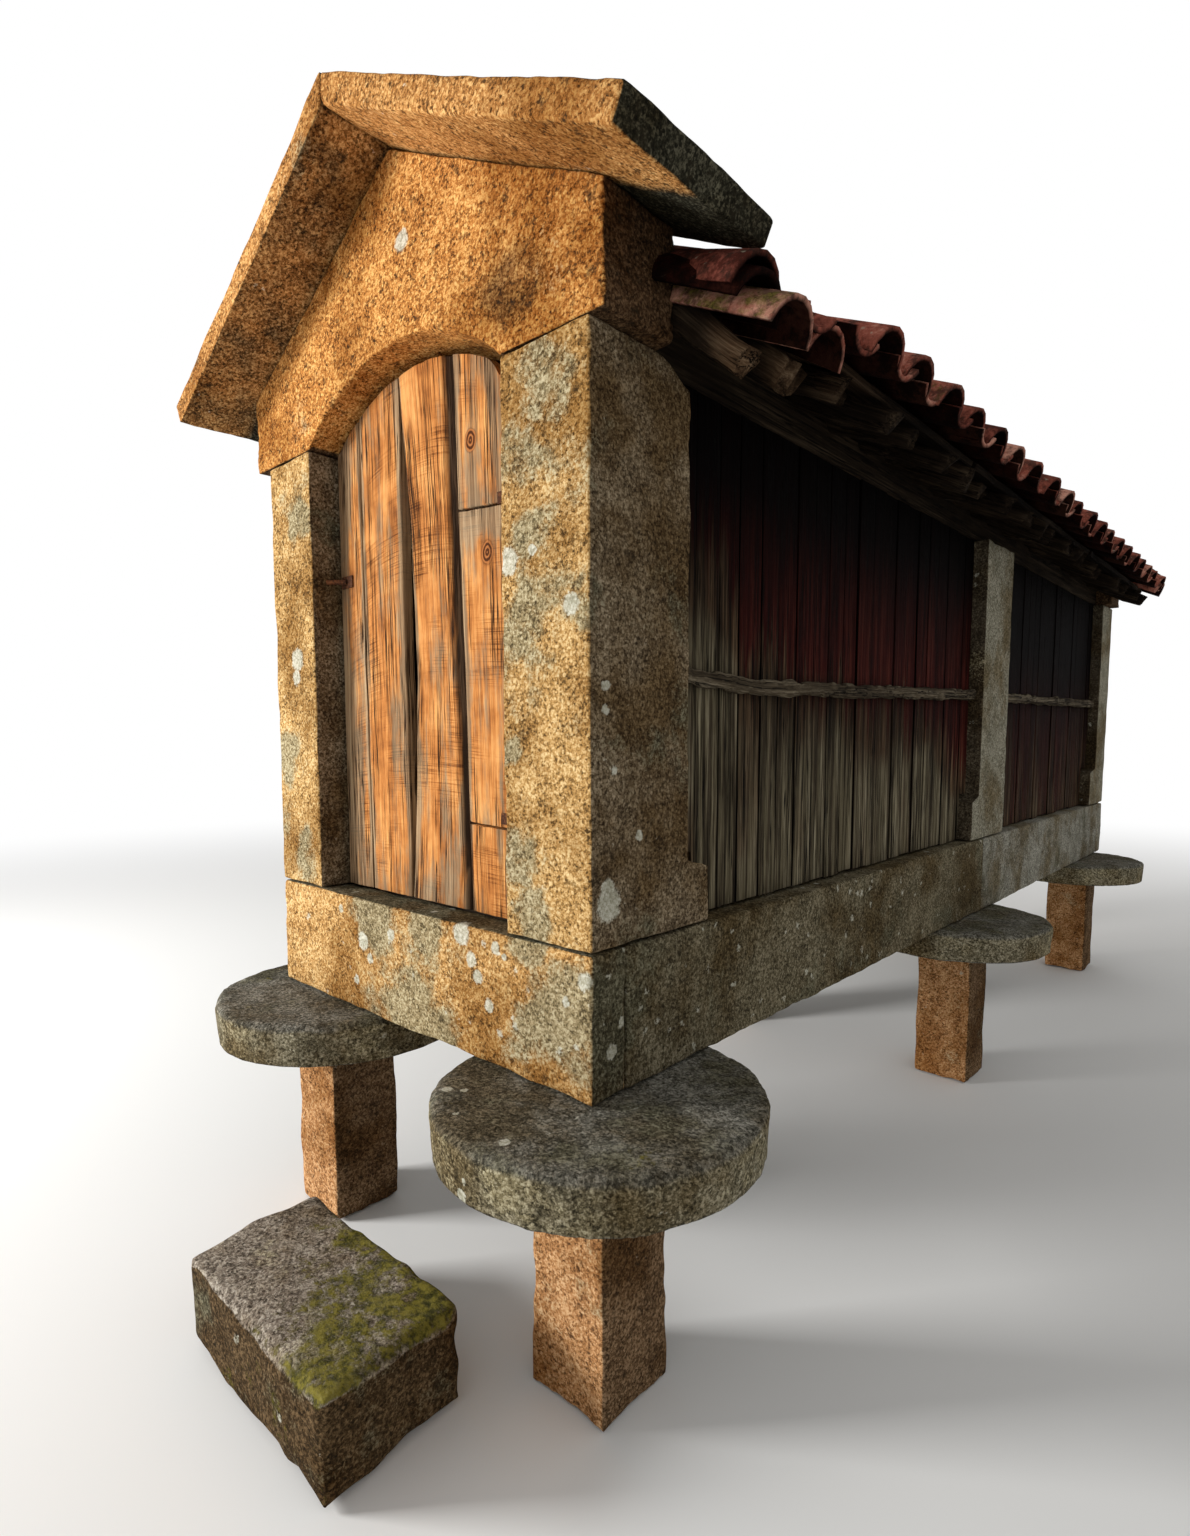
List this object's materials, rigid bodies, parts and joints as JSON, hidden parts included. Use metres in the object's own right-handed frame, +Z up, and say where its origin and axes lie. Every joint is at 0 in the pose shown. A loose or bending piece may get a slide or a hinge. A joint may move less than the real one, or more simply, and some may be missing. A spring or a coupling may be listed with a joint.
{
  "type": "raised granary",
  "caption": "Raised granite granary on mushroom pillars, with boarded side walls, an arched plank door, raking stone caps and a tiled roof.",
  "frame": {"origin": "on the lowest ground, at the middle of the whole object's width and length", "axes": "+Y runs along the building from the door end to the rear, +X to the right seen from the door, +Z up"},
  "size_m": [2.338, 6.735, 3.5207],
  "materials": {
    "granite": "coarse golden granite with lichen",
    "grey_granite": "coarse grey granite with lichen",
    "pillar_granite": "pecked warm granite",
    "old_wood": "weathered grey timber",
    "red_wood": "faded dark red paint on weathered boards",
    "door_wood": "rough sawn oak, weathered",
    "clay": "unglazed clay with lichen",
    "iron": "rusty wrought iron"
  },
  "bodies": {
    "building": {"pillar_front_right": "pillar_granite", "pillar_front_left": "pillar_granite", "pillar_middle_right": "pillar_granite", "pillar_middle_left": "pillar_granite", "pillar_rear_right": "pillar_granite", "pillar_rear_left": "pillar_granite", "disc_front_right": "grey_granite", "disc_front_left": "grey_granite", "disc_middle_right": "grey_granite", "disc_middle_left": "grey_granite", "disc_rear_right": "grey_granite", "disc_rear_left": "grey_granite", "step_stone": "granite", "front_sill": "granite", "rear_sill": "granite", "side_sill_right_front": "grey_granite", "side_sill_right_rear": "grey_granite", "side_sill_left_front": "grey_granite", "side_sill_left_rear": "grey_granite", "floor_boards": "old_wood", "post_front_right": "granite", "post_front_left": "granite", "post_middle_right": "grey_granite", "post_middle_left": "grey_granite", "post_rear_right": "grey_granite", "post_rear_left": "grey_granite", "gable_front": "granite", "gable_rear": "granite", "cap_slab_front_right": "granite", "cap_slab_front_left": "granite", "cap_slab_rear_right": "granite", "cap_slab_rear_left": "granite", "wall_right_front": "red_wood", "wall_right_rear": "red_wood", "wall_left_front": "red_wood", "wall_left_rear": "red_wood", "mid_rails": "old_wood", "wall_plates": "old_wood", "ridge_beam": "old_wood", "rafters": "old_wood", "roof_boards": "old_wood", "tiles_right": "clay", "tiles_left": "clay", "ridge_tiles": "clay", "rear_planks": "door_wood", "hinge_pintles": "iron"},
    "door": {"door_planks": "door_wood", "door_ledges": "door_wood", "door_hinges": "iron", "door_latch": "iron"}
  },
  "joints": [
    {"name": "door_hinge", "type": "hinge", "parent": "building", "child": "door", "pos_m": [0.45692, -2.67358, 1.214], "axis": [0, 0, 1], "range_deg": [0, 90]}
  ]
}
